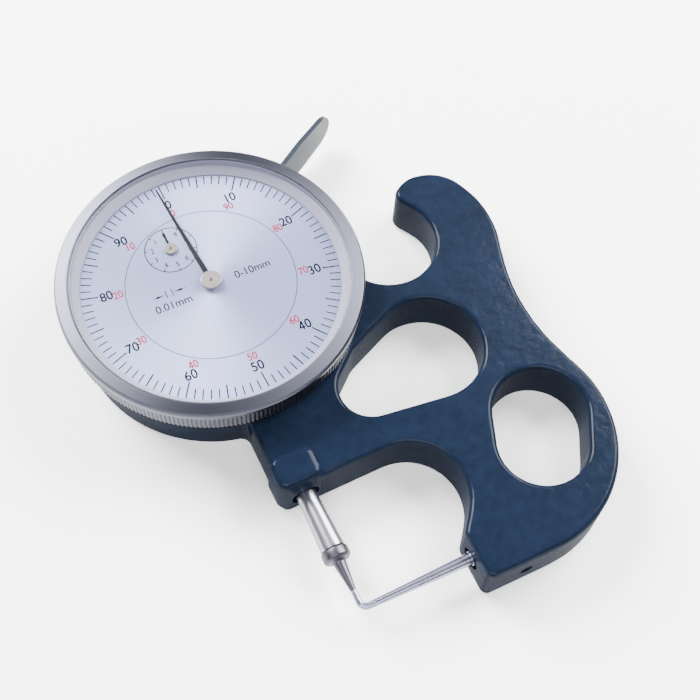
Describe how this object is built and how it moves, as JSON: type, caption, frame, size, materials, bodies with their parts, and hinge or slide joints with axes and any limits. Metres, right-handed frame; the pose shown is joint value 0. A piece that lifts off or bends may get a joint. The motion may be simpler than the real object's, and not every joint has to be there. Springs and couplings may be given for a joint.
{
  "type": "dial thickness gauge",
  "caption": "Hand-held dial thickness gauge: cast finger frame, round dial with turning bezel, lever-lifted spindle and slim bent anvil.",
  "frame": {"origin": "on the dial axis, in the plane of the flat back", "axes": "+Z along the dial axis towards the reader, -Y along the spindle towards the anvil, +X towards the finger frame"},
  "size_m": [0.0884, 0.1071, 0.019],
  "materials": {
    "enamel": "dark-blue hammer enamel, glossy",
    "satin_steel": "satin",
    "polished_steel": "polished",
    "dark_steel": "blackened",
    "spring_steel": "drawn wire",
    "brass": "satin",
    "bezel_metal": "turned, knurled rim",
    "dial_print": "matt lacquer with printed scale",
    "hand_black": "satin black",
    "nickel": "nickel plated",
    "acrylic": "clear acrylic",
    "blued_steel": "blued"
  },
  "bodies": {
    "gauge_body": {"frame": "enamel", "back_cover": "satin_steel", "cover_screws": "satin_steel", "stem_bush": "brass", "guide_block": "brass", "return_spring": "spring_steel", "spring_post": "satin_steel", "anvil": "polished_steel", "anvil_screw": "dark_steel", "lever_pivot": "satin_steel", "main_plate": "brass", "plate_screws": "satin_steel", "pinion_cock": "brass", "bridge": "brass", "bridge_pillars": "brass", "bridge_screws": "satin_steel", "hairspring": "blued_steel", "hairspring_stud": "satin_steel", "inner_dial": "dial_print", "bezel_wire": "spring_steel"},
    "gauge_spindle": {"spindle": "polished_steel", "contact_point": "polished_steel", "guide_pin": "satin_steel"},
    "lever": {"lifting_lever": "polished_steel"},
    "counter": {"rack_pinion": "satin_steel", "counter_gear": "brass", "counter_hand": "hand_black", "counter_hub": "nickel"},
    "pointer": {"centre_pinion": "satin_steel", "main_hand": "hand_black", "main_hub": "nickel"},
    "take_up": {"hairspring_arbor": "satin_steel", "hairspring_gear": "brass"},
    "bezel_group": {"bezel": "bezel_metal", "crystal": "acrylic", "dial_ring": "dial_print"}
  },
  "joints": [
    {"name": "pointer_turn", "type": "hinge", "parent": "gauge_body", "child": "pointer", "pos_m": [0, 0, 0], "axis": [0, 0, 1], "range_deg": [-3600, 0]},
    {"name": "spindle_slide", "type": "slide", "parent": "gauge_body", "child": "gauge_spindle", "axis": [0, 1, 0], "range_m": [0, 0.01], "deforming": ["return_spring"]},
    {"name": "counter_turn", "type": "hinge", "parent": "gauge_body", "child": "counter", "pos_m": [-0.0043, 0.01013, 0], "axis": [0, 0, 1], "range_deg": [0, 360]},
    {"name": "take_up_turn", "type": "hinge", "parent": "gauge_body", "child": "take_up", "pos_m": [0.007, -0.00849, 0], "axis": [0, 0, 1], "range_deg": [0, 360], "deforming": ["hairspring"]},
    {"name": "lever_press", "type": "hinge", "parent": "gauge_body", "child": "lever", "pos_m": [0.0155, 0.0162, 0], "axis": [0, 0, 1], "range_deg": [-35.86, 0]},
    {"name": "bezel_turn", "type": "hinge", "parent": "gauge_body", "child": "bezel_group", "pos_m": [0, 0, 0], "axis": [0, 0, 1], "continuous": true}
  ],
  "couplings": [
    {"joint": "pointer_turn", "follows": "spindle_slide", "rad_per_m": -6283.2},
    {"joint": "counter_turn", "follows": "spindle_slide", "rad_per_m": 628.32},
    {"joint": "take_up_turn", "follows": "spindle_slide", "rad_per_m": 628.32},
    {"joint": "lever_press", "follows": "spindle_slide", "rad_per_m": -62.405}
  ]
}
